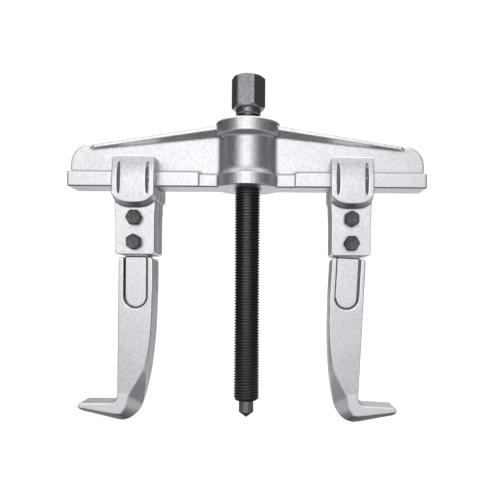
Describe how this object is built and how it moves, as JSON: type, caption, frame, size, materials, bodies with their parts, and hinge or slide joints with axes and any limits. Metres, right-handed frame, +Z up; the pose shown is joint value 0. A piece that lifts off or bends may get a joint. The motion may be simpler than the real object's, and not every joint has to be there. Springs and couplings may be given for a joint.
{
  "type": "gear puller",
  "caption": "Two-arm internal gear puller: forged crossbeam, forcing screw with swivelling point, sliding clamps and legs with outward claws.",
  "frame": {"origin": "on the spindle axis, at the height of the lower foot's underside", "axes": "+X along the crossbeam, to the right seen from the front; +Y towards the back, where the clamp nuts are; +Z up along the spindle, towards its hexagon head"},
  "size_m": [0.25, 0.046, 0.2442],
  "materials": {
    "plated_forging": "satin plated forging, fine shot-blast grain",
    "black_oxide": "oiled black oxide, semi-gloss",
    "bolt_steel": "phosphated, satin",
    "bright_steel": "ground, bright"
  },
  "bodies": {
    "beam": {"crossbeam": "plated_forging"},
    "point": {"live_centre": "black_oxide", "thrust_ball": "bright_steel", "tip_snap_ring": "bright_steel"},
    "screw": {"spindle": "black_oxide"},
    "left_slider": {"left_slider_front": "plated_forging", "left_slider_back": "plated_forging", "left_upper_bolt": "bolt_steel", "left_upper_washer": "bolt_steel", "left_upper_nut": "bolt_steel", "left_lower_bolt": "bolt_steel", "left_lower_washer": "bolt_steel", "left_lower_nut": "bolt_steel"},
    "left_arm": {"left_leg": "plated_forging"},
    "right_slider": {"right_slider_front": "plated_forging", "right_slider_back": "plated_forging", "right_upper_bolt": "bolt_steel", "right_upper_washer": "bolt_steel", "right_upper_nut": "bolt_steel", "right_lower_bolt": "bolt_steel", "right_lower_washer": "bolt_steel", "right_lower_nut": "bolt_steel"},
    "right_arm": {"right_leg": "plated_forging"}
  },
  "joints": [
    {"name": "spindle_feed", "type": "slide", "parent": "beam", "child": "point", "axis": [0, 0, 1], "range_m": [-0.007, 0.14]},
    {"name": "spindle_turn", "type": "hinge", "parent": "point", "child": "screw", "pos_m": [0, 0, 0], "axis": [0, 0, 1], "range_deg": [-1262, 25202]},
    {"name": "left_slide", "type": "slide", "parent": "beam", "child": "left_slider", "axis": [1, 0, 0], "range_m": [-0.034, 0.037]},
    {"name": "left_leg_rock", "type": "hinge", "parent": "left_slider", "child": "left_arm", "pos_m": [-0.077, 0, 0.13417], "axis": [0, 1, 0], "range_deg": [-3, 3]},
    {"name": "right_slide", "type": "slide", "parent": "beam", "child": "right_slider", "axis": [1, 0, 0], "range_m": [-0.034, 0.037]},
    {"name": "right_leg_rock", "type": "hinge", "parent": "right_slider", "child": "right_arm", "pos_m": [0.0722, 0, 0.13417], "axis": [0, 1, 0], "range_deg": [-6, 0]}
  ],
  "couplings": [
    {"joint": "spindle_turn", "follows": "spindle_feed", "rad_per_m": 3141.6}
  ]
}
